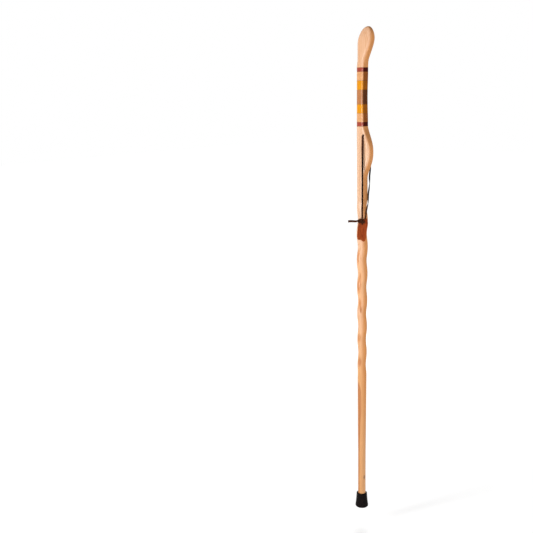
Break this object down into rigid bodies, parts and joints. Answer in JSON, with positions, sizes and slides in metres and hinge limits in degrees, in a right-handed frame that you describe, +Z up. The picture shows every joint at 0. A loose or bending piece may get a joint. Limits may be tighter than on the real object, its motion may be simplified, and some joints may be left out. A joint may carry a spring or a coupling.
{
  "type": "hiking staff",
  "caption": "Wooden hiking staff with a carved knob, a glued grip of coloured wood bands, a palm swell, a carved spiral, a leather wrist lace with a tag and a rubber ferrule.",
  "frame": {"origin": "middle of the ferrule's sole, on the floor", "axes": "+Z up the staff, +X to the side that the knob and the palm swell lean to, -Y out of the flat side with the near end of the lace hole"},
  "size_m": [0.0581, 0.0708, 1.473],
  "materials": {
    "pale_wood": "pale hardwood, sanded, under a satin clear coat",
    "red_wood": "brick-red hardwood under a satin clear coat",
    "tan_wood": "tan hardwood with wavy grain under a satin clear coat",
    "amber_wood": "golden hardwood with arched rings under a satin clear coat",
    "walnut_wood": "brown open-pored hardwood under a satin clear coat",
    "dowel_wood": "plain pale dowel, unfinished",
    "ferrule_rubber": "matt black moulded rubber",
    "washer_steel": "plain zinc-coated steel",
    "lace_leather": "dark brown oiled leather lace",
    "tag_leather": "reddish brown leather, matt, bare of any stamp"
  },
  "bodies": {
    "staff": {"knob": "pale_wood", "upper_red_band": "red_wood", "upper_tan_band": "tan_wood", "upper_amber_band": "amber_wood", "walnut_band": "walnut_wood", "lower_amber_band": "amber_wood", "lower_tan_band": "tan_wood", "lower_red_band": "red_wood", "core_dowel": "dowel_wood", "shaft": "pale_wood"},
    "ferrule": {"ferrule": "ferrule_rubber", "ferrule_washer": "washer_steel"},
    "lace": {"lace_bridge": "lace_leather", "lace_near_strand": "lace_leather", "lace_far_strand": "lace_leather", "lace_knot": "lace_leather", "lace_tail": "lace_leather"},
    "tag": {"tag": "tag_leather"}
  },
  "joints": [
    {"name": "ferrule_pull", "type": "slide", "parent": "staff", "child": "ferrule", "axis": [0, 0, -1], "range_m": [0, 0.05]},
    {"name": "lace_swing", "type": "hinge", "parent": "staff", "child": "lace", "pos_m": [0.012, 0, 1.17], "axis": [0, -1, 0], "range_deg": [0, 150]},
    {"name": "tag_swing", "type": "hinge", "parent": "lace", "child": "tag", "pos_m": [0.01603, -0.01296, 0.917], "axis": [0.6018, -0.7986, 0], "range_deg": [-75, 75]}
  ]
}
